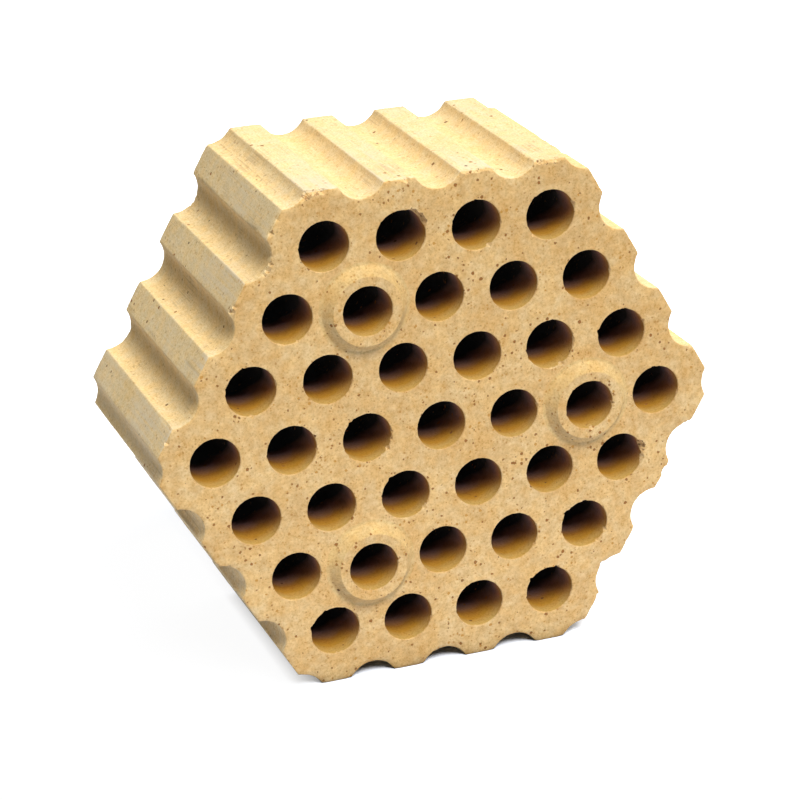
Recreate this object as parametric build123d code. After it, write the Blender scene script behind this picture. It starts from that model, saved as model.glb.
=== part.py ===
from build123d import *
import math
import os

# Refractory checker brick for a hot blast stove: one pressed and fired piece, lying on one of its six sides.
# Millimetres. X runs corner to corner, Y along the flues with the bosses at its low end, Z up from the floor.

# Flues, on a hexagonal lattice
hole_pitch = 40.0  # centre to centre of neighbouring flues
hole_d = 26.0
hole_rings = 3  # rings of flues round the middle one

# Body
brick_height = 120.0  # face to face, along the flues
groove_d = 26.0  # grooves in the sides and corners, which make further flues with the neighbouring bricks
side_inset = 5.8  # from the line of groove centres in to the flat of a side, half the joint between bricks
arris_r = 1.0  # worn long edges of the sides

# Locating bosses on the front face, each round a flue
boss_count = 3
boss_ring = 2  # pitches from the middle
boss_base_d = 45.2
boss_top_d = 36.4
boss_height = 5.6
boss_root_r = 1.5  # soft corner where a boss meets the face

# Sockets on the back face, which take the bosses of three bricks in the course below
socket_clearance = 1.0  # round a boss and above it

# Places that follow from the sizes
groove_line = (hole_rings + 1) * hole_pitch * math.sqrt(3) / 2  # from the axis to the groove centres of a side
axis_z = groove_line - side_inset
back_y = (brick_height + boss_height) / 2
front_y = back_y - brick_height
front_plane = Plane(origin=(0, front_y, axis_z), x_dir=(1, 0, 0), z_dir=(0, -1, 0))
back_plane = Plane(origin=(0, back_y, axis_z), x_dir=(1, 0, 0), z_dir=(0, -1, 0))
boss_places = PolarLocations(boss_ring * hole_pitch, boss_count)
socket_places = PolarLocations(boss_ring * hole_pitch, boss_count, start_angle=180 / boss_count)


def lattice_ring(ring):
    """Centres of the lattice points in one hexagonal ring round the middle, from the one on +X."""
    if ring == 0:
        return [Vector(0, 0)]
    corners = [Vector(ring * hole_pitch, 0).rotate(Axis.Z, 60 * turn) for turn in range(7)]
    centres = []
    for start, end in zip(corners, corners[1:]):
        centres += [start + (end - start) * (step / ring) for step in range(ring)]
    return centres


def outline():
    """The brick's section without its flues: a hexagon with a ring of grooves in its sides and corners."""
    hexagon = RegularPolygon(radius=axis_z, side_count=6, major_radius=False)
    grooves = Locations(*lattice_ring(hole_rings + 1)) * Circle(groove_d / 2)
    section = hexagon - grooves
    return fillet(section.vertices(), arris_r)


def flues():
    """All flues as one tool, long enough to pass through the body and its bosses."""
    centres = [centre for ring in range(hole_rings + 1) for centre in lattice_ring(ring)]
    circles = Sketch() + Locations(*centres) * Circle(hole_d / 2)
    return extrude(back_plane * circles, amount=brick_height + 2 * boss_height)


def boss():
    """One tapered boss along +Z, with a skirt below the plane of the face that joins it to the body."""
    root = (boss_base_d / 2, 0)
    rim = (boss_top_d / 2, boss_height)
    skirt_r = boss_base_d / 2 + boss_root_r
    section = Polygon(
        (0, -boss_height), (skirt_r, -boss_height), (skirt_r, 0), root, rim, (0, boss_height), align=None
    )
    section = fillet(section.vertices().sort_by_distance(root)[0], boss_root_r)
    return revolve(Plane.XZ * section, Axis.Z)


def socket():
    """One tapered socket as a solid along +Z from its mouth."""
    mouth_r = boss_base_d / 2 + socket_clearance
    floor_r = boss_top_d / 2 + socket_clearance
    depth = boss_height + socket_clearance
    return Cone(mouth_r, floor_r, depth, align=(Align.CENTER, Align.CENTER, Align.MIN))


def checker_brick():
    """The whole brick: body, bosses and sockets, then every flue through them."""
    brick = extrude(back_plane * outline(), amount=brick_height)
    for place in boss_places:
        brick += front_plane * place * boss()
    for place in socket_places:
        brick -= back_plane * place * socket()
    return brick - flues()


os.makedirs("parts", exist_ok=True)
export_step(checker_brick(), "parts/checker_brick.step")
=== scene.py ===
import math

import bmesh
import bpy
import numpy as np
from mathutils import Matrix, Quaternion, Vector, geometry, noise


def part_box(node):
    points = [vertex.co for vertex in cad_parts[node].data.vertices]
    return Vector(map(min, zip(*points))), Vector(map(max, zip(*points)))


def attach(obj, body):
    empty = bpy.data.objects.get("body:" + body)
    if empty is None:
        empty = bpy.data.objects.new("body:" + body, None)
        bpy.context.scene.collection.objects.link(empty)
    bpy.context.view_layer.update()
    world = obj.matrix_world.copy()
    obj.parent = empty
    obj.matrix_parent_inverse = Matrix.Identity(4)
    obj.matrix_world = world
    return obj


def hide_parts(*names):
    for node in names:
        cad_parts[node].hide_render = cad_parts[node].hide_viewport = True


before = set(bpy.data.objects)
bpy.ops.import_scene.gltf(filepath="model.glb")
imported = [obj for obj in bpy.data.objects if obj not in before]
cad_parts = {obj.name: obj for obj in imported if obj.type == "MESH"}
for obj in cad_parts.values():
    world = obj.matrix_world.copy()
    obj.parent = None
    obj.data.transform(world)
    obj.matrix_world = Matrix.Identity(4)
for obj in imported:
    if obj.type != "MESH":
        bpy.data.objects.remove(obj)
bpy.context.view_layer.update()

# Sizes of the brick, in metres, as in the CAD model
MM = 0.001
PITCH = 40 * MM
HOLE_R = 13 * MM
HOLE_RINGS = 3
HEIGHT = 120 * MM
GROOVE_R = 13 * MM
SIDE_INSET = 5.8 * MM
ARRIS_R = 1.0 * MM
BOSS_RING = 2
BOSS_BASE_R = 22.6 * MM
BOSS_TOP_R = 18.2 * MM
BOSS_ROOT_R = 1.5 * MM
SOCKET_CLEARANCE = 1.0 * MM

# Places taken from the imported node
LOW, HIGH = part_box("checker_brick")
AXIS_Z = (LOW.z + HIGH.z) / 2
GROOVE_LINE = (HOLE_RINGS + 1) * PITCH * math.sqrt(3) / 2  # from the axis to the groove centres of a side
FLAT = GROOVE_LINE - SIDE_INSET
BACK_Y = HIGH.y
FRONT_Y = BACK_Y - HEIGHT
BOSS_Y = LOW.y
SOCKET_Y = BACK_Y - (FRONT_Y - BOSS_Y) - SOCKET_CLEARANCE

# How finely the surfaces are divided
RIM_STEPS = 128  # round each flue
OUTLINE_STEP = 1.2 * MM
FACE_STEP = 2.6 * MM
SIDE_RINGS = 22
FLUE_RINGS = 3
RIM_ANGLES = np.linspace(0, 2 * math.pi, RIM_STEPS, endpoint=False)
EDGE_SHARES = (0, 0.35, 0.7, 1)  # rings across a worn outer edge
RIM_SHARES = (0, 0.5, 1)  # rings across the worn mouth of a flue
FLUE_ENDS = (0.06, 0.94)  # first and last ring of a flue's wall, as shares of its length
ROOT_SHARES = (0.35, 0.7, 1)  # rings of a boss, from its root up its flank and over its crown
FLANK_SHARES = (0.35, 0.55, 0.75, 0.88)
CROWN_SHARES = (0.12, 0.27, 0.42, 0.58)
SOCKET_FLOOR_RADII = (15.5 * MM, 17.5 * MM)  # rings of a socket, on its floor and up its flank
SOCKET_SHARES = (0.2, 0.5, 0.8, 0.97)
SOCKET_EDGE = 0.3 * MM  # width of the rounding at a socket's edge
BOSS_EDGE_IN, BOSS_EDGE_DOWN = 0.05 * MM, 0.10 * MM  # rounding of a boss's edge
HOLE_CLEAR = 0.5 * FACE_STEP  # free distance of a face's inner points from a flue or groove
RIM_CLEAR = 0.6 * FACE_STEP  # and from the outline
MERGE_GAP = 1e-7  # points nearer than this are one
SHARP_ANGLE = 38  # degrees, above which an edge is shaded sharp
NORMAL_REACH = 4 * MM  # over which the outline's directions are evened out
ARRIS_REACH = 2.5 * MM  # over which an arris wears
ARRIS_GAIN = 2.5  # makes that wear full close to the arris

# Wear and unevenness
RIM_WEAR = 0.30 * MM  # rounding of a sound flue mouth
EDGE_WEAR = 0.55 * MM  # rounding of a sound outer edge
RIM_STEEP = 2.2  # depth of a worn mouth for its width
RIM_CHIP = 1.0 * MM  # width of a large chip
EDGE_CHIP = 1.9 * MM
CHIP_LEVEL = 0.62  # noise above which a chip begins
CHIP_MORE = 0.5  # how far that falls where an edge is most ragged
CHIP_STEEP = 2.4  # how fast a chip grows above that noise
CHIP_FINE = 0.4  # strength of its finer lumps
RIM_CHIP_LENGTH, EDGE_CHIP_LENGTH = 3.5 * MM, 6 * MM
EDGE_RAGGED, ARRIS_RAGGED = 0.35, 0.15  # how ragged they are, from 0 to 1
ARRIS_WEAR, ARRIS_CHIP = 0.7, 0.7  # of an outer edge's wear and chips
WEAR_UNEVEN = 0.6
RIM_GRAIN, EDGE_GRAIN = 1.3 * MM, 1.6 * MM
HOLLOW_LEAST, HOLLOW_MORE, HOLLOW_WIDTH = 0.3, 0.3, 2.5 * MM  # a wide chip is more hollow
# Damage at known places in front, in millimetres:
# x and z from the axis, how far it spreads and how deep it goes
KNOCKS = (
    (-65, 132, 8, 3.0),
    (20, 133, 10, 1.9),
    (59, 132, 8, 2.3),
    (-89, 98, 6, 2.0),
    (-109, 77, 5, 2.4),
    (-11, 113, 7, 2.4),
    (112, -33, 7, 2.4),
)
KNOCK_LEVEL = 0.65  # share of the depth that is reached, before its unevenness
KNOCK_WAVES = ((0.6, 2.2 * MM), (0.3, 0.9 * MM))  # strength and size
FACE_WAVE = 0.10 * MM  # greatest depth of the waves of a surface
SIDE_WAVE = 0.12 * MM
BORE_WAVE = 0.12 * MM
BOSS_WAVE = 0.35 * MM
BROAD_SHARE, FINE_SHARE = 0.6, 0.4  # of the broad and the fine waves of a surface
FACE_BROAD, FACE_FINE = 22 * MM, 4 * MM
SIDE_BROAD, SIDE_FINE = 18 * MM, 1.8 * MM
SIDE_DRAG = 0.06  # the fine waves of the sides are drawn out along the brick
BORE_BROAD = 12 * MM
CONE_LEVEL = 0.5  # bosses and sockets, in the same way as the damage
CONE_WAVES = ((0.3, 2.5 * MM), (0.2, 6 * MM))
ROOT_ROUGH, FLANK_ROUGH, CROWN_ROUGH = 0.3 * BOSS_WAVE, 0.6 * BOSS_WAVE, 0.5 * BOSS_WAVE
SOCKET_ROUGH = -0.2 * BOSS_WAVE
BOSS_WORN, SOCKET_WORN = 0.5, 0.3  # how fresh these surfaces look
CROWN_DISH = 0.40 * MM  # fall of a boss's crown towards its flue

# Seeds of the noise. Some uses take the next one or two as well
KNOCK_SEED, SIDE_SEED, BORE_SEED, CONE_SEED = 3, 5, 8, 9
FLUE_SEED, BACK_SEED = 20, 100
SEED_STEP = (17.3, 5.1, 9.7)  # how far apart the noise of one seed and the next lies
MOUTH_STEP = 3.7

# Materials, by their place on the mesh
FACE, BOSS, LAND, GROOVE, FLUE = range(5)

# Colours of the clay
FACE_PALE, FACE_DEEP = (0.885, 0.635, 0.307), (0.735, 0.465, 0.185)
BOSS_PALE, BOSS_DEEP = (0.83, 0.61, 0.285), (0.72, 0.49, 0.21)
LAND_PALE, LAND_DEEP = (0.92, 0.725, 0.41), (0.84, 0.645, 0.345)
# grooves are a little darker and more orange than the lands: painted shade in the grooves
GROOVE_SHADED_PALE, GROOVE_SHADED_DEEP = (0.92, 0.705, 0.375), (0.84, 0.62, 0.31)
TINTS = (0.975, 1.006, 1.075), (1.025, 0.994, 0.925)  # greyer and more orange clay
LAND_STREAK = (0.70, 0.615, 0.465)  # greyer, where the die has dragged
SCRATCH = (0.46, 0.31, 0.15)
GROG = (0.95, 0.79, 0.50)
RUST = ((0.60, 0.30, 0.065), (0.45, 0.195, 0.035), (0.27, 0.105, 0.025))
PORE = ((0.38, 0.15, 0.035), (0.23, 0.095, 0.025), (0.11, 0.05, 0.02))
FRESH = (0.93, 0.73, 0.42)  # newly broken edges
PIT = (0.28, 0.135, 0.048)
# Colours of a flue from its mouth inwards, below and above, which paint the light falling onto its lower
# wall and the shade deeper inside, and the shares of half its length where they stand
FLUE_SHADE_STOPS = (0.12, 0.21, 0.32, 0.49, 0.61)
FLUE_BED_SHADING = (
    (0.66, 0.42, 0.12),
    (0.556, 0.283, 0.03),
    (0.43, 0.187, 0.021),
    (0.36, 0.20, 0.18),
    (0.010, 0.010, 0.014),
)
FLUE_VAULT_SHADE = (
    (0.46, 0.23, 0.06),
    (0.38, 0.185, 0.09),
    (0.26, 0.145, 0.13),
    (0.14, 0.10, 0.11),
    (0.008, 0.006, 0.007),
)
LIT_BED_RANGE = (0.58, 0.95)  # how low on the wall the painted light of the lower colours begins and is full
LIT_BED_MOTTLE, SHADE_DEPTH_CLOUD = 0.1, 6 * MM  # how uneven the edges of the painted light and shade are, round the wall and along it
VAULT_SHADE_SOONER = 0.45  # how much sooner the painted shade darkens the flue above

# Patterns of the clay: scales of noise for each metre, and the values where each begins and is full
RAGGED_SCALE, RAGGED_SHIFT = 900, 1.1 * MM  # makes the specks uneven
BLOTCH_SCALE, BLOTCH_SHARE = 42, 0.4
MOTTLE_SCALE, MOTTLE_SHARE = 210, 0.6
CLOUD_RANGE = (0.38, 0.62)
TINT_SCALE, TINT_RANGE = 150, (0.36, 0.64)
SAND_SCALE, SAND_ROUGH = 900, 0.75
SAND = ((0.30, (0.72, 0.62, 0.44)), (0.50, (0.91, 0.88, 0.82)), (0.70, (0.985, 0.985, 0.98)))
STREAK_STRETCH, SCRATCH_STRETCH = (420, 7, 420), (1100, 9, 1100)  # drawn out along the brick
STREAK_PATCH, SCRATCH_PATCH = 28, 35
STREAK_RANGE, SCRATCH_RANGE = (0.22, 0.42), (0.34, 0.44)
STREAK_Y = (FRONT_Y + 5 * MM, FRONT_Y + 65 * MM)  # streaks are stronger in front
STREAK_NEAR, STREAK_FAR = 1.2, 0.45
SCRATCH_AMOUNT = 0.45
FRESH_SCALE, FRESH_RANGE, FRESH_AMOUNT = 700, (0.30, 0.55), 0.25
PIT_SCALE, PIT_RANGE, PIT_AMOUNT = 520, (0.53, 0.62), 0.75
# Specks: size of their cells, share of cells with one, largest radius in cells and softness of the edge
GROG_SPECKS = (2.6 * MM, 0.36, 0.34, 0.08)
FINE_SPECKS = (1.7 * MM, 0.48, 0.46, 0.20)
RUST_SPECKS = (2.6 * MM, 0.38, 0.37, 0.10)
PORE_SIZE, PORE_LARGEST, PORE_SOFT = 4.5 * MM, 0.24, 0.06
GROG_AMOUNT, FINE_AMOUNT, RUST_AMOUNT, PORE_AMOUNT = 0.12, 0.65, 0.95, 0.95
RUST_STOPS, PORE_STOPS = (0.0, 0.5, 1.0), (0.0, 0.6, 1.0)
CROWD_SCALE, CROWD_STRENGTH = 0.12, 0.9  # specks gather in some places
# Relief and sheen
SAND_RELIEF, PIT_RELIEF, DRAG_RELIEF = 0.7, -1.2, 1.2
BUMP_STRENGTH, BUMP_HEIGHT = 0.44, 0.25 * MM
ROUGHNESS = 0.92
SPECULAR = 0.25

# View, found by fitting the flue mouths and the far edges to the photograph
VIEW_AZIMUTH = 20.8
VIEW_ELEVATION = 22.15
VIEW_ROLL = 1.14
VIEW_DISTANCE = 1.368
AIM_X = -22.3 * MM  # point of the front face at the middle of the picture, from the axis
AIM_Z = 17.7 * MM
LENS = 122.95
SENSOR = 36

# Light and floor
KEY_FROM = (0.04, -0.60, 0.80)
KEY_STRENGTH = 3.14
KEY_ANGLE = 26  # degrees across, for soft shadows
ROOM_LEVEL = 0.04
CEILING_FROM = (0.34, 0.30, 0.88)
CEILING_LEVEL = 3.2  # added in that direction, and falling off around it
CEILING_FOCUS = 6
FLOOR_REACH = 8  # metres, to each side
FLOOR_NEAR = (0.60, 0.66, 0.86)  # how the floor lights the brick, close by and further off
FLOOR_FAR = (0.28, 0.28, 0.28)
FLOOR_NEAR_REACH, FLOOR_FAR_REACH = 0.30, 0.50
FLOOR_UNDER_SHADE = (0.03, 0.03, 0.03)  # a dark floor close under the brick, for light and sheen only: painted shade on the grooves that rest on it
UNDER_X = (90 * MM, 75 * MM)  # where that begins and is full, to both sides
UNDER_Y = (70 * MM, 60 * MM)
FLOOR_SEEN = (1.16, 1.20, 1.28)  # how the camera sees the floor
FLOOR_MIRRORED = (2.4, 2.4, 2.4)  # and how it shows in the sheen of the clay
SHADOW_FADE = 0.96  # how far the shadow under the brick's left overhang is faded, as in the photograph
FADE_X = (-62 * MM, -84 * MM)  # where that begins and is full
FADE_Y = (BACK_Y + 260 * MM, BACK_Y + 80 * MM)


def polar(radius, angle):
    """A point at an angle, in radians, round the axis."""
    return Vector((radius * math.cos(angle), radius * math.sin(angle)))


def lattice_ring(ring):
    """Centres of the lattice points in one hexagonal ring, as (x, z) from the axis."""
    if ring == 0:
        return [Vector((0, 0))]
    corners = [polar(ring * PITCH, math.radians(60 * turn)) for turn in range(7)]
    return [a.lerp(b, step / ring) for a, b in zip(corners, corners[1:]) for step in range(ring)]


def grain(point, size, seed):
    """Smooth noise from -1 to 1 with lumps of a given size."""
    return noise.noise(point / size + Vector([seed * step for step in SEED_STEP]))


def wave(point, size, seed):
    """Such noise from 0 to 1."""
    return 0.5 + 0.5 * grain(point, size, seed)


def rough(point, level, waves, seed):
    """A level with noise of several strengths and sizes on it."""
    for number, (strength, size) in enumerate(waves):
        level += strength * grain(point, size, seed + number)
    return level


def arc(centre, radius, start, end):
    """Points along an arc between two angles, without its last point."""
    steps = max(3, round(radius * abs(end - start) / OUTLINE_STEP))
    return [centre + polar(radius, angle) for angle in np.linspace(start, end, steps, endpoint=False)]


def side_outline():
    """Points of one side, along it and out from the axis, and each one's kind: (arris, groove)."""
    drop = SIDE_INSET + ARRIS_R
    reach = math.sqrt((GROOVE_R + ARRIS_R) ** 2 - drop ** 2)
    slope = math.atan2(drop, reach)
    half = (HOLE_RINGS + 1) / 2
    grooves = np.arange(-half, half + 1) * PITCH
    points, kinds = [], []
    for place in grooves:
        first, last = place == grooves[0], place == grooves[-1]
        start = math.radians(-60) if first else slope - math.pi
        end = math.radians(-120) if last else -slope
        groove = arc(Vector((place, GROOVE_LINE)), GROOVE_R, start, end)
        points += groove
        kinds += [(0, 1)] * len(groove)
        if last:
            break
        left = Vector((place + reach, FLAT - ARRIS_R))
        right = Vector((place + PITCH - reach, FLAT - ARRIS_R))
        land_steps = max(2, round((right.x - left.x) / OUTLINE_STEP))
        near = arc(left, ARRIS_R, math.pi - slope, math.pi / 2)
        land = [Vector((along, FLAT)) for along in np.linspace(left.x, right.x, land_steps, endpoint=False)]
        far = arc(right, ARRIS_R, math.pi / 2, slope)
        points += near + land + far
        kinds += [(1, 0)] * len(near) + [(0, 0)] * len(land) + [(1, 0)] * len(far)
    return points, kinds


def spread(points, values, reach):
    """Values at the points of a closed outline, each averaged with its neighbours within a reach."""
    spans = np.array([(b - a).length for a, b in zip(points, points[1:] + points[:1])])
    places = np.cumsum(spans) - spans
    gaps = np.abs(places[:, None] - places[None, :])
    gaps = np.minimum(gaps, spans.sum() - gaps)
    weights = np.maximum(0, 1 - gaps / reach) * (spans + np.roll(spans, 1))
    return weights @ np.array(values, float) / weights.sum(axis=1, keepdims=True)


def outline():
    """The whole outline, the outward direction at each point, how near it is to an arris, and its slot."""
    side, side_kinds = side_outline()
    points, kinds = [], []
    for turn in range(6):
        out = polar(1, math.radians(30 + 60 * turn))
        along = Vector((-out.y, out.x))
        points += [along * point.x + out * point.y for point in side]
        kinds += side_kinds
    ahead = points[1:] + points[:1]
    behind = points[-1:] + points[:-1]
    tangents = [(b - a).normalized() for a, b in zip(behind, ahead)]
    normals = spread(points, [(tangent.y, -tangent.x) for tangent in tangents], NORMAL_REACH)
    nearness = np.minimum(1, ARRIS_GAIN * spread(points, kinds, ARRIS_REACH)[:, 0])
    slots = [GROOVE if groove else LAND for _, groove in kinds]
    return points, [Vector(normal).normalized() for normal in normals], nearness, slots


def chip(point, size, seed, much):
    """How far a chip reaches at a point of an edge: mostly nothing, and up to one here and there."""
    lumps = grain(point, size, seed) + CHIP_FINE * grain(point, size / 3, seed + 1)
    return min(1, max(0, lumps - CHIP_LEVEL + CHIP_MORE * much) * CHIP_STEEP)


def knock(point):
    """How far the damage at a known place reaches at a point of the front face's edges."""
    reach = 0
    for x, z, size, depth in KNOCKS:
        gap = math.hypot(point.x - x * MM, point.z - AXIS_Z - z * MM) / (size * MM)
        if point.y < 0 and gap < 1:
            uneven = rough(point, KNOCK_LEVEL, KNOCK_WAVES, KNOCK_SEED)
            reach = max(reach, depth * MM * math.sqrt(1 - gap * gap) * max(0, uneven))
    return reach


def rim_wear(point, seed):
    """Width of the worn edge of a flue's mouth at a point. Some mouths are sound and some ragged."""
    fine = 1 + WEAR_UNEVEN * grain(point, RIM_GRAIN, seed)
    much = noise.cell(Vector((seed * MOUTH_STEP, 0.5, 0.5))) ** 2
    return RIM_WEAR * fine + max(RIM_CHIP * chip(point, RIM_CHIP_LENGTH, seed, much), knock(point))


def edge_wear(point, arris, seed):
    """Width of the worn outer edge of a face at a point."""
    fine = 1 + WEAR_UNEVEN * grain(point, EDGE_GRAIN, seed)
    chipped = EDGE_CHIP * chip(point, EDGE_CHIP_LENGTH, seed, EDGE_RAGGED)
    return EDGE_WEAR * (fine + ARRIS_WEAR * arris) + max(chipped, knock(point))


def broken(wear, sound):
    """How fresh a worn edge is, from a half where it is sound to one in a chip."""
    return 0.5 + 0.5 * min(1, max(0, wear - 2 * sound) / MM)


def worn_edge(wear, share, steep=1.0):
    """A worn edge's distances from the wall and below the face: round if narrow, hollow if wide."""
    hollow = HOLLOW_LEAST + HOLLOW_MORE * min(1, wear / HOLLOW_WIDTH)
    bow = 4 * share * (1 - share) * (hollow - 0.5)
    return wear * (1 - share + bow), steep * wear * (share + bow)


def face_dent(point, seed):
    """How far a pressed face lies below its plane at a point."""
    broad = wave(point, FACE_BROAD, seed)
    fine = wave(point, FACE_FINE, seed + 1)
    return FACE_WAVE * (BROAD_SHARE * broad + FINE_SHARE * fine)


class BrickMesh:
    """Vertices and faces of the brick, gathered ring by ring."""

    def __init__(self):
        self.points, self.worn, self.low, self.deep = [], [], [], []
        self.faces, self.slots = [], []

    def ring(self, points, worn=0.0, low=0.0, deep=0.0):
        """Adds points, how worn they are and, in a flue, how low and deep: a value for all or for each."""
        start = len(self.points)
        self.points += points
        for values, added in ((self.worn, worn), (self.low, low), (self.deep, deep)):
            values += np.broadcast_to(added, len(points)).tolist()
        return list(range(start, len(self.points)))

    def bridge(self, rings, slots):
        """Quads between closed rings of as many points, with a slot for all or for each place round."""
        for first, second in zip(rings, rings[1:]):
            count = len(first)
            for i in range(count):
                j = (i + 1) % count
                self.faces.append((first[i], first[j], second[j], second[i]))
            self.slots += [slots] * count if isinstance(slots, int) else slots


def at(flat_point, y):
    """A point of the section, (x, z) from the axis, as a point of the brick."""
    return Vector((flat_point.x, y, flat_point.y + AXIS_Z))


class End:
    """One pressed face: its plane, which way is into the brick, and its own seed for wear."""

    def __init__(self, y, inward, seed):
        self.y, self.inward, self.seed = y, inward, seed
        self.loops = []

    def surface(self, flat_point, plane=None):
        y = self.y if plane is None else plane
        point = at(flat_point, y)
        point.y += self.inward * face_dent(point, self.seed)
        return point


def add_sides(mesh, ends):
    """The grooved sides, with worn edges at both faces."""
    points, normals, arrises, slots = outline()
    closing = []
    for end in ends:
        wears = [edge_wear(at(p, end.y), a, end.seed) for p, a in zip(points, arrises)]
        rings = []
        for share in EDGE_SHARES:
            ring = []
            for point, normal, wear in zip(points, normals, wears):
                aside, below = worn_edge(wear, share)
                place = end.surface(point - normal * aside)
                place.y += end.inward * below
                ring.append(place)
            rings.append(mesh.ring(ring, [broken(wear, EDGE_WEAR) for wear in wears]))
        mesh.bridge(rings[:-1], FACE)
        mesh.bridge(rings[-2:], slots)
        end.loops.append(rings[0])
        closing.append(rings[-1])
    front, back = closing
    rings = [front]
    for share in np.linspace(0, 1, SIDE_RINGS + 2)[1:-1]:
        ring = []
        for i, (point, normal) in enumerate(zip(points, normals)):
            y = mesh.points[front[i]].y * (1 - share) + mesh.points[back[i]].y * share
            place = at(point, y)
            broad = wave(place, SIDE_BROAD, SIDE_SEED)
            drag = wave(Vector((place.x, place.y * SIDE_DRAG, place.z)), SIDE_FINE, SIDE_SEED + 1)
            dent = SIDE_WAVE * (BROAD_SHARE * broad + FINE_SHARE * drag)
            chipped = chip(place, EDGE_CHIP_LENGTH, SIDE_SEED + 2, ARRIS_RAGGED)
            dent += arrises[i] * ARRIS_CHIP * EDGE_CHIP * chipped
            ring.append(at(point - normal * dent, y))
        rings.append(mesh.ring(ring))
    rings.append(back)
    mesh.bridge(rings, slots)


def lathe(mesh, centre, profile, worn, front_plane, back_plane):
    """Rings of points round a flue between two planes. Each part of the profile gives one ring's points."""
    low = 0.5 - 0.5 * np.sin(RIM_ANGLES)
    rings = []
    for place, wear in zip(profile, worn):
        points = [place(centre, turn) for turn in RIM_ANGLES]
        deep = [max(0, min(point.y - front_plane, back_plane - point.y)) for point in points]
        rings.append(mesh.ring(points, wear, low, deep))
    return rings


def mouth(end, plane, seed):
    """Profile of a flue's worn mouth, from the face into the bore."""

    def place(share):
        def point(centre, angle):
            spot = centre + polar(HOLE_R, angle)
            aside, below = worn_edge(rim_wear(at(spot, plane), seed), share, RIM_STEEP)
            result = end.surface(centre + polar(HOLE_R + aside, angle), plane)
            result.y += end.inward * below
            return result
        return point

    return [place(share) for share in RIM_SHARES]


def mouth_worn(centre, plane, seed):
    """How fresh the worn mouth of a flue is all round, for each of its rings."""
    spots = [at(centre + polar(HOLE_R, turn), plane) for turn in RIM_ANGLES]
    return [[broken(rim_wear(spot, seed), RIM_WEAR) for spot in spots]] * len(RIM_SHARES)


def bore_wall(share):
    """Profile of the bore between its mouths, a little out of round."""

    def point(centre, angle):
        spot = centre + polar(HOLE_R, angle)
        y = FRONT_Y * (1 - share) + SOCKET_Y * share
        swell = BORE_WAVE * wave(at(spot, y), BORE_BROAD, BORE_SEED)
        return at(centre + polar(HOLE_R + swell, angle), y)

    return point


def cone_ring(end, radius, y, dent):
    """Profile of a ring on a boss or in a socket, roughened into the brick."""

    def point(centre, angle):
        result = at(centre + polar(radius, angle), y)
        result.y += end.inward * dent * rough(result, CONE_LEVEL, CONE_WAVES, end.seed + CONE_SEED)
        return result

    return point


def face_ring(end, radius):
    """Profile of the ring where a boss or socket meets the face."""

    def point(centre, angle):
        return end.surface(centre + polar(radius, angle))

    return point


def boss_profile(end):
    """A boss from the face up to the edge of its flue's mouth: the rings of its flank and of its crown."""
    rise = FRONT_Y - BOSS_Y
    rings = [face_ring(end, BOSS_BASE_R + BOSS_ROOT_R)]
    slope = math.atan2(rise, BOSS_BASE_R - BOSS_TOP_R)
    root = BOSS_ROOT_R * math.tan(slope / 2)
    for share in ROOT_SHARES:
        angle = slope * share
        radius = BOSS_BASE_R + root - BOSS_ROOT_R * math.sin(angle)
        rings.append(cone_ring(end, radius, FRONT_Y - BOSS_ROOT_R * (1 - math.cos(angle)), ROOT_ROUGH))
    for share in FLANK_SHARES:
        radius = BOSS_BASE_R + (BOSS_TOP_R - BOSS_BASE_R) * share
        rings.append(cone_ring(end, radius, FRONT_Y - rise * share, FLANK_ROUGH))
    rings.append(cone_ring(end, BOSS_TOP_R - BOSS_EDGE_IN, BOSS_Y + BOSS_EDGE_DOWN, CROWN_ROUGH))
    crown = []
    for share in CROWN_SHARES:
        radius = BOSS_TOP_R + (HOLE_R - BOSS_TOP_R) * share
        crown.append(cone_ring(end, radius, BOSS_Y + CROWN_DISH * share, CROWN_ROUGH))
    return rings, crown


def socket_profile(end):
    """A socket from the edge of its flue's mouth out to the face."""
    floor_r = BOSS_TOP_R + SOCKET_CLEARANCE
    mouth_r = BOSS_BASE_R + SOCKET_CLEARANCE
    rings = [cone_ring(end, radius, SOCKET_Y, 0) for radius in (*SOCKET_FLOOR_RADII, floor_r)]
    for share in SOCKET_SHARES:
        radius = floor_r + (mouth_r - floor_r) * share
        rings.append(cone_ring(end, radius, SOCKET_Y + (BACK_Y - SOCKET_Y) * share, SOCKET_ROUGH))
    rings.append(face_ring(end, mouth_r + SOCKET_EDGE))
    return rings


def add_flue(mesh, centre, front, back, has_boss, has_socket, seed):
    """One flue with its two mouths, and the boss or socket round it."""
    front_plane = BOSS_Y + CROWN_DISH if has_boss else FRONT_Y
    back_plane = SOCKET_Y if has_socket else BACK_Y
    entry = mouth(front, front_plane, seed)
    leave = mouth(back, back_plane, seed + BACK_SEED)[::-1]
    flank, crown = boss_profile(front) if has_boss else ([], [])
    outer = flank + crown
    inner = socket_profile(back) if has_socket else []
    walls = [bore_wall(share) for share in np.linspace(*FLUE_ENDS, FLUE_RINGS)]
    worn = [BOSS_WORN] * len(outer) + mouth_worn(centre, front_plane, seed) + [0.0] * len(walls)
    worn += mouth_worn(centre, back_plane, seed + BACK_SEED) + [SOCKET_WORN] * len(inner)
    rings = lathe(mesh, centre, outer + entry + walls + leave + inner, worn, front_plane, back_plane)
    wall_start = len(outer) + len(entry) - 1
    wall_end = wall_start + len(walls) + 1
    mesh.bridge(rings[:len(flank)], BOSS)
    mesh.bridge(rings[max(0, len(flank) - 1):wall_start + 1], FACE)
    mesh.bridge(rings[wall_start:wall_end + 1], FLUE)
    mesh.bridge(rings[wall_end:], FACE)
    front.loops.append(rings[0])
    back.loops.append(rings[-1])


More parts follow.
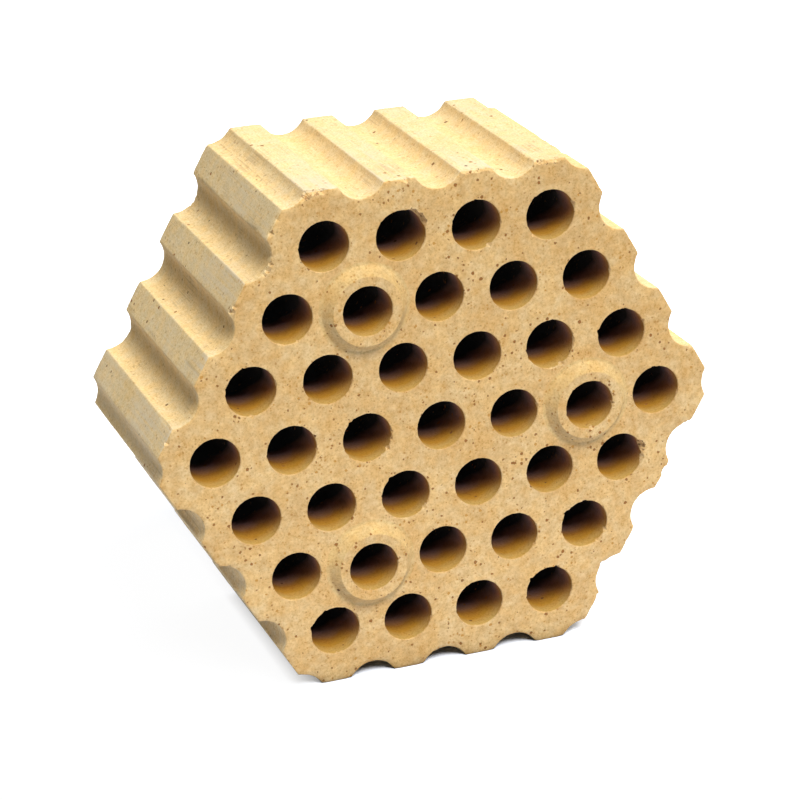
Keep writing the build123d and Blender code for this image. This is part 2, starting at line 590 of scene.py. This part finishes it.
def add_face(mesh, end):
    """A pressed face between the outline and the loops round its flues."""
    loops = [[mesh.points[i] for i in loop] for loop in end.loops]
    ids = [i for loop in end.loops for i in loop]
    flat = [Vector((p.x, p.z - AXIS_Z)) for loop in loops for p in loop]
    edges, start = [], 0
    for loop in loops:
        edges += [(start + i, start + (i + 1) % len(loop)) for i in range(len(loop))]
        start += len(loop)
    holes = [(place.x, place.y, GROOVE_R) for place in lattice_ring(HOLE_RINGS + 1)]
    for loop in loops[1:]:
        centre = sum((p.xz for p in loop), Vector((0, 0))) / len(loop)
        radius = max((p.xz - centre).length for p in loop)
        holes.append((centre.x, centre.y - AXIS_Z, radius))
    holes = np.array(holes)
    rim = np.array([(p.x, p.z - AXIS_Z) for p in loops[0]])
    reach = (HOLE_RINGS + 1) * PITCH
    rows = np.arange(-FLAT, FLAT, FACE_STEP * math.sqrt(3) / 2)
    for row, z in enumerate(rows):
        for x in np.arange(-reach + (row % 2) * FACE_STEP / 2, reach, FACE_STEP):
            inside = abs(z) < FLAT and abs(x) * math.sqrt(3) / 2 + abs(z) / 2 < FLAT
            if not inside:
                continue
            hole_gap = (np.hypot(holes[:, 0] - x, holes[:, 1] - z) - holes[:, 2]).min()
            rim_gap = np.hypot(rim[:, 0] - x, rim[:, 1] - z).min()
            if hole_gap < HOLE_CLEAR or rim_gap < RIM_CLEAR:
                continue
            point = Vector((x, z))
            flat.append(point)
            ids.append(mesh.ring([end.surface(point)])[0])
    owners = [number for number, loop in enumerate(loops) for _ in loop] + [0] * (len(flat) - start)
    _, _, triangles, origins, _, _ = geometry.delaunay_2d_cdt(flat, edges, [], 1, MERGE_GAP)
    for triangle in triangles:
        corners = sorted(origins[i][0] for i in triangle)
        a, b, c = (flat[i] for i in corners)
        same_loop = len({owners[i] for i in corners}) == 1 and owners[corners[0]] > 0
        if same_loop and (b - a).cross(c - a) > 0:
            continue  # inside the flue
        mesh.faces.append(tuple(ids[i] for i in corners))
        mesh.slots.append(FACE)


def build_brick():
    """The brick as one closed mesh."""
    mesh = BrickMesh()
    front = End(FRONT_Y, inward=1, seed=1)
    back = End(BACK_Y, inward=-1, seed=2)
    add_sides(mesh, (front, back))
    bosses = [polar(BOSS_RING * PITCH, math.radians(angle)) for angle in (0, 120, 240)]
    sockets = [-place for place in bosses]
    seed = FLUE_SEED
    for ring in range(HOLE_RINGS + 1):
        for centre in lattice_ring(ring):
            has_boss = any((centre - place).length < MM for place in bosses)
            has_socket = any((centre - place).length < MM for place in sockets)
            add_flue(mesh, centre, front, back, has_boss, has_socket, seed)
            seed += 1
    add_face(mesh, front)
    add_face(mesh, back)
    data = bpy.data.meshes.new("brick")
    data.from_pydata(mesh.points, [], mesh.faces)
    data.polygons.foreach_set("material_index", mesh.slots)
    for name, values in (("worn", mesh.worn), ("low", mesh.low), ("deep", mesh.deep)):
        data.attributes.new(name, "FLOAT", "POINT").data.foreach_set("value", values)
    edit = bmesh.new()
    edit.from_mesh(data)
    bmesh.ops.delete(edit, geom=[vert for vert in edit.verts if not vert.link_faces], context="VERTS")
    bmesh.ops.recalc_face_normals(edit, faces=edit.faces)
    edit.to_mesh(data)
    edit.free()
    data.shade_smooth()
    data.set_sharp_from_angle(angle=math.radians(SHARP_ANGLE))
    return data


class Nodes:
    """A short way to write a material's nodes and links."""

    def __init__(self, owner):
        owner.use_nodes = True
        self.tree = owner.node_tree

    def add(self, kind, inputs=None, **settings):
        node = self.tree.nodes.new(kind)
        for key, value in settings.items():
            setattr(node, key, value)
        for key, value in (inputs or {}).items():
            if isinstance(value, bpy.types.NodeSocket):
                self.tree.links.new(value, node.inputs[key])
            else:
                node.inputs[key].default_value = value
        return node

    def math(self, operation, first, second=0.0, third=0.0):
        inputs = {0: first, 1: second, 2: third}
        return self.add("ShaderNodeMath", inputs, operation=operation).outputs[0]

    def vector(self, operation, inputs, output="Vector"):
        return self.add("ShaderNodeVectorMath", inputs, operation=operation).outputs[output]

    def ramp(self, value, stops):
        node = self.add("ShaderNodeValToRGB", {"Fac": value})
        while len(node.color_ramp.elements) < len(stops):
            node.color_ramp.elements.new(0.5)
        for element, (place, colour) in zip(node.color_ramp.elements, stops):
            element.position = place
            element.color = (*colour, 1)
        return node.outputs["Color"]

    def mix(self, amount, first, second, blend="MIX"):
        node = self.add("ShaderNodeMix", data_type="RGBA", blend_type=blend)
        for key, value in (("Factor_Float", amount), ("A_Color", first), ("B_Color", second)):
            socket = next(s for s in node.inputs if s.identifier == key)
            if isinstance(value, bpy.types.NodeSocket):
                self.tree.links.new(value, socket)
            elif isinstance(value, tuple):
                socket.default_value = (*value, 1)
            else:
                socket.default_value = value
        return next(s for s in node.outputs if s.identifier == "Result_Color")

    def noise(self, where, scale, detail, roughness=0.55):
        inputs = {"Vector": where, "Scale": scale, "Detail": detail, "Roughness": roughness}
        return self.add("ShaderNodeTexNoise", inputs).outputs["Fac"]

    def between(self, value, low, high, start=0.0, end=1.0):
        """The start up to the low value, the end from the high value on, and a straight line between."""
        inputs = {"Value": value, "From Min": low, "From Max": high, "To Min": start, "To Max": end}
        return self.add("ShaderNodeMapRange", inputs).outputs[0]

    def stretched(self, where, scales):
        return self.add("ShaderNodeMapping", {"Vector": where, "Scale": scales}).outputs[0]

    def attribute(self, name):
        return self.add("ShaderNodeAttribute", attribute_name=name).outputs["Fac"]

    def specks(self, where, size, share, largest, soft):
        """Spots in a share of the cells, more in some places: a mask, and a random value for each spot."""
        cells = self.add("ShaderNodeTexVoronoi", {"Vector": where, "Scale": 1 / size})
        chance = self.add("ShaderNodeSeparateColor", {"Color": cells.outputs["Color"]})
        crowd = self.math("SUBTRACT", self.noise(where, CROWD_SCALE / size, 2), 0.5)
        likely = self.math("MULTIPLY_ADD", crowd, CROWD_STRENGTH, chance.outputs[0])
        radius = self.between(likely, 1 - share, 1.0, end=largest)
        inside = self.math("SUBTRACT", radius, cells.outputs["Distance"])
        mask = self.between(inside, 0.0, soft)
        return mask, chance.outputs[1]


def brick_material(name, pale, deep, speckle, porous, streaks=0, flue=False):
    """Fired clay with blotches, sandy grain, pale grog, iron specks and pores.

    Sides also have streaks from the die. Flues have painted shade, darker well inside and sooner above, and
    painted light on their lower wall near the mouth.
    """
    material = bpy.data.materials.new(name)
    nodes = Nodes(material)
    shader = nodes.tree.nodes["Principled BSDF"]
    where = nodes.add("ShaderNodeTexCoord").outputs["Object"]
    shift = nodes.add("ShaderNodeTexNoise", {"Vector": where, "Scale": RAGGED_SCALE, "Detail": 2.0})
    shift = nodes.vector("SUBTRACT", {0: shift.outputs["Color"], 1: (0.5, 0.5, 0.5)})
    ragged = nodes.vector("ADD", {0: where, 1: nodes.vector("SCALE", {0: shift, "Scale": RAGGED_SHIFT})})
    blotch = nodes.noise(where, BLOTCH_SCALE, 4)
    mottle = nodes.noise(where, MOTTLE_SCALE, 3)
    cloud = nodes.math("MULTIPLY_ADD", mottle, MOTTLE_SHARE, nodes.math("MULTIPLY", blotch, BLOTCH_SHARE))
    colour = nodes.ramp(cloud, list(zip(CLOUD_RANGE, (deep, pale))))
    # painted light and shade: the flue's colour is lit on its lower wall near the mouth and darkens deeper
    # in
    if flue:
        low = nodes.math("MULTIPLY_ADD", mottle, LIT_BED_MOTTLE, nodes.attribute("low"))
        lit_bed = nodes.between(low, *LIT_BED_RANGE)
        depth = nodes.math("MULTIPLY_ADD", cloud, SHADE_DEPTH_CLOUD, nodes.attribute("deep"))
        sooner = nodes.math("MULTIPLY_ADD", lit_bed, -VAULT_SHADE_SOONER, 1 + VAULT_SHADE_SOONER)
        depth = nodes.math("DIVIDE", nodes.math("MULTIPLY", depth, sooner), HEIGHT / 2)
        vault_shade_colour = nodes.ramp(depth, list(zip(FLUE_SHADE_STOPS, FLUE_VAULT_SHADE)))
        colour = nodes.mix(lit_bed, vault_shade_colour, nodes.ramp(depth, list(zip(FLUE_SHADE_STOPS, FLUE_BED_SHADING))))
    tint = nodes.ramp(nodes.noise(where, TINT_SCALE, 2), list(zip(TINT_RANGE, TINTS)))
    colour = nodes.mix(1.0, colour, tint, "MULTIPLY")
    sand = nodes.noise(where, SAND_SCALE, 3, SAND_ROUGH)
    colour = nodes.mix(1.0, colour, nodes.ramp(sand, SAND), "MULTIPLY")
    if streaks:
        drag = nodes.noise(nodes.stretched(where, STREAK_STRETCH), 1, 3)
        amount = nodes.math("MULTIPLY", drag, nodes.noise(where, STREAK_PATCH, 2))
        amount = nodes.between(amount, *STREAK_RANGE)
        inward = nodes.add("ShaderNodeSeparateXYZ", {0: where}).outputs["Y"]
        fade = nodes.between(inward, *STREAK_Y, STREAK_NEAR, STREAK_FAR)
        amount = nodes.math("MULTIPLY", amount, fade)
        colour = nodes.mix(nodes.math("MULTIPLY", amount, streaks), colour, LAND_STREAK)
        lines = nodes.noise(nodes.stretched(where, SCRATCH_STRETCH), 1, 2)
        lines = nodes.math("MULTIPLY", lines, nodes.noise(where, SCRATCH_PATCH, 2))
        lines = nodes.between(lines, *SCRATCH_RANGE)
        colour = nodes.mix(nodes.math("MULTIPLY", lines, SCRATCH_AMOUNT), colour, SCRATCH)
    if not flue:
        grog, _ = nodes.specks(ragged, *GROG_SPECKS)
        colour = nodes.mix(nodes.math("MULTIPLY", grog, GROG_AMOUNT), colour, GROG)
    for cells, amount in ((FINE_SPECKS, FINE_AMOUNT), (RUST_SPECKS, RUST_AMOUNT)):
        spots, chance = nodes.specks(ragged, *cells)
        rust_colour = nodes.ramp(chance, list(zip(RUST_STOPS, RUST)))
        colour = nodes.mix(nodes.math("MULTIPLY", spots, amount * speckle), colour, rust_colour)
    pores, chance = nodes.specks(ragged, PORE_SIZE, porous, PORE_LARGEST, PORE_SOFT)
    pore_colour = nodes.ramp(chance, list(zip(PORE_STOPS, PORE)))
    colour = nodes.mix(nodes.math("MULTIPLY", pores, PORE_AMOUNT), colour, pore_colour)
    worn = nodes.attribute("worn")
    crumbs = nodes.math("MULTIPLY", worn, nodes.noise(where, FRESH_SCALE, 2))
    fresh = nodes.between(crumbs, *FRESH_RANGE)
    colour = nodes.mix(nodes.math("MULTIPLY", fresh, FRESH_AMOUNT), colour, FRESH)
    pits = nodes.math("MULTIPLY", worn, nodes.noise(ragged, PIT_SCALE, 2))
    pits = nodes.between(pits, *PIT_RANGE)
    colour = nodes.mix(nodes.math("MULTIPLY", pits, PIT_AMOUNT), colour, PIT)
    nodes.tree.links.new(colour, shader.inputs["Base Color"])
    height = nodes.math("MULTIPLY_ADD", sand, SAND_RELIEF, mottle)
    height = nodes.math("MULTIPLY_ADD", nodes.math("MAXIMUM", pores, pits), PIT_RELIEF, height)
    if streaks:
        height = nodes.math("MULTIPLY_ADD", drag, DRAG_RELIEF, height)
    relief = {"Strength": BUMP_STRENGTH, "Distance": BUMP_HEIGHT, "Height": height}
    bump = nodes.add("ShaderNodeBump", relief)
    nodes.tree.links.new(bump.outputs[0], shader.inputs["Normal"])
    shader.inputs["Roughness"].default_value = ROUGHNESS
    shader.inputs["Specular IOR Level"].default_value = SPECULAR
    return material


def add_brick():
    """The dressed brick, in place of the CAD node."""
    brick = bpy.data.objects.new("brick_fired", build_brick())
    bpy.context.scene.collection.objects.link(brick)
    for material in (
        brick_material("pressed_face", FACE_PALE, FACE_DEEP, speckle=1.0, porous=0.48),
        brick_material("boss_flank", BOSS_PALE, BOSS_DEEP, speckle=0.9, porous=0.4),
        brick_material("side_land", LAND_PALE, LAND_DEEP, speckle=0.5, porous=0.3, streaks=0.7),
        # the grooves' colours hold painted shade
        brick_material("side_groove_shaded", GROOVE_SHADED_PALE, GROOVE_SHADED_DEEP, speckle=0.5, porous=0.28, streaks=0.25),
        # the flue's colours are painted light and shade
        brick_material("flue_wall_painted_shade", FLUE_BED_SHADING[0], FLUE_BED_SHADING[1], speckle=0.15, porous=0.2, flue=True),
    ):
        brick.data.materials.append(material)
    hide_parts("checker_brick")
    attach(brick, "root")


def add_camera():
    """The photograph's view."""
    azimuth, elevation = math.radians(VIEW_AZIMUTH), math.radians(VIEW_ELEVATION)
    level = math.cos(elevation)
    ahead = Vector((math.sin(azimuth) * level, math.cos(azimuth) * level, -math.sin(elevation)))
    data = bpy.data.cameras.new("camera")
    data.lens = LENS
    data.sensor_width = SENSOR
    camera = bpy.data.objects.new("camera", data)
    bpy.context.scene.collection.objects.link(camera)
    camera.location = Vector((AIM_X, FRONT_Y, AXIS_Z + AIM_Z)) - ahead * VIEW_DISTANCE
    camera.rotation_mode = "QUATERNION"
    roll = Quaternion(ahead, math.radians(VIEW_ROLL))
    camera.rotation_quaternion = roll @ ahead.to_track_quat("-Z", "Y")
    bpy.context.scene.camera = camera


def seen_rays(nodes):
    """Two values: rays straight from the camera, and these with mirrored rays and rays let through."""
    path = nodes.add("ShaderNodeLightPath").outputs
    mirrored = nodes.math("MAXIMUM", path["Is Glossy Ray"], path["Is Transmission Ray"])
    return path["Is Camera Ray"], nodes.math("MAXIMUM", path["Is Camera Ray"], mirrored)


def add_floor():
    """A white floor with the brick's shadow. The camera sees it brighter than it lights the brick."""
    data = bpy.data.meshes.new("floor")
    corners = [(x * FLOOR_REACH, y * FLOOR_REACH, 0) for x, y in ((-1, -1), (1, -1), (1, 1), (-1, 1))]
    data.from_pydata(corners, [], [(0, 1, 2, 3)])
    floor = bpy.data.objects.new("floor", data)
    bpy.context.scene.collection.objects.link(floor)
    material = bpy.data.materials.new("white_floor")
    nodes = Nodes(material)
    nodes.tree.nodes.remove(nodes.tree.nodes["Principled BSDF"])
    where = nodes.add("ShaderNodeTexCoord").outputs["Object"]
    away = nodes.vector("LENGTH", {0: where}, "Value")
    far = nodes.between(away, FLOOR_NEAR_REACH, FLOOR_FAR_REACH)
    place = nodes.add("ShaderNodeSeparateXYZ", {0: where}).outputs
    beside = nodes.math("MULTIPLY", nodes.between(place["X"], *FADE_X), nodes.between(place["Y"], *FADE_Y))
    under_x = nodes.between(nodes.math("ABSOLUTE", place["X"]), *UNDER_X)
    under_y = nodes.between(nodes.math("ABSOLUTE", place["Y"]), *UNDER_Y)
    under = nodes.math("MULTIPLY", under_x, under_y)
    straight, shown = seen_rays(nodes)
    # the dark floor under the brick paints shade onto the grooves resting on it
    lit_colour = nodes.mix(under, nodes.mix(far, FLOOR_NEAR, FLOOR_FAR), FLOOR_UNDER_SHADE)
    lit = nodes.add("ShaderNodeBsdfDiffuse", {"Color": lit_colour})
    mirrored = nodes.mix(under, FLOOR_MIRRORED, FLOOR_UNDER_SHADE)
    seen = nodes.add("ShaderNodeBsdfDiffuse", {"Color": nodes.mix(straight, mirrored, FLOOR_SEEN)})
    both = nodes.add("ShaderNodeMixShader", {0: shown, 1: lit.outputs[0], 2: seen.outputs[0]})
    white = nodes.add("ShaderNodeEmission", {"Color": (1, 1, 1, 1), "Strength": 1.0})
    fade = nodes.math("MULTIPLY", nodes.math("MULTIPLY", beside, SHADOW_FADE), straight)
    faded = nodes.add("ShaderNodeMixShader", {0: fade, 1: both.outputs[0], 2: white.outputs[0]})
    nodes.tree.links.new(faded.outputs[0], nodes.tree.nodes["Material Output"].inputs["Surface"])
    data.materials.append(material)


def add_light():
    """A soft key from above and in front, in a dim room with a bright ceiling behind."""
    key = bpy.data.lights.new("key", "SUN")
    key.energy = KEY_STRENGTH
    key.angle = math.radians(KEY_ANGLE)
    lamp = bpy.data.objects.new("key", key)
    bpy.context.scene.collection.objects.link(lamp)
    lamp.rotation_mode = "QUATERNION"
    lamp.rotation_quaternion = (-Vector(KEY_FROM)).to_track_quat("-Z", "Y")
    world = bpy.data.worlds.new("studio")
    bpy.context.scene.world = world
    nodes = Nodes(world)
    where = nodes.add("ShaderNodeTexCoord").outputs["Generated"]
    ceiling = Vector(CEILING_FROM).normalized()
    toward = nodes.vector("DOT_PRODUCT", {0: where, 1: ceiling}, "Value")
    overhead = nodes.math("POWER", nodes.math("MAXIMUM", toward, 0.0), CEILING_FOCUS)
    level = nodes.math("MULTIPLY_ADD", overhead, CEILING_LEVEL, ROOM_LEVEL)
    room = nodes.add("ShaderNodeBackground", {"Color": (1, 1, 1, 1), "Strength": level})
    white = nodes.add("ShaderNodeBackground", {"Color": (1, 1, 1, 1), "Strength": 1.0})
    _, shown = seen_rays(nodes)
    both = nodes.add("ShaderNodeMixShader", {0: shown, 1: room.outputs[0], 2: white.outputs[0]})
    nodes.tree.links.new(both.outputs[0], nodes.tree.nodes["World Output"].inputs["Surface"])


bpy.context.scene.view_settings.view_transform = "Standard"
add_brick()
add_floor()
add_light()
add_camera()
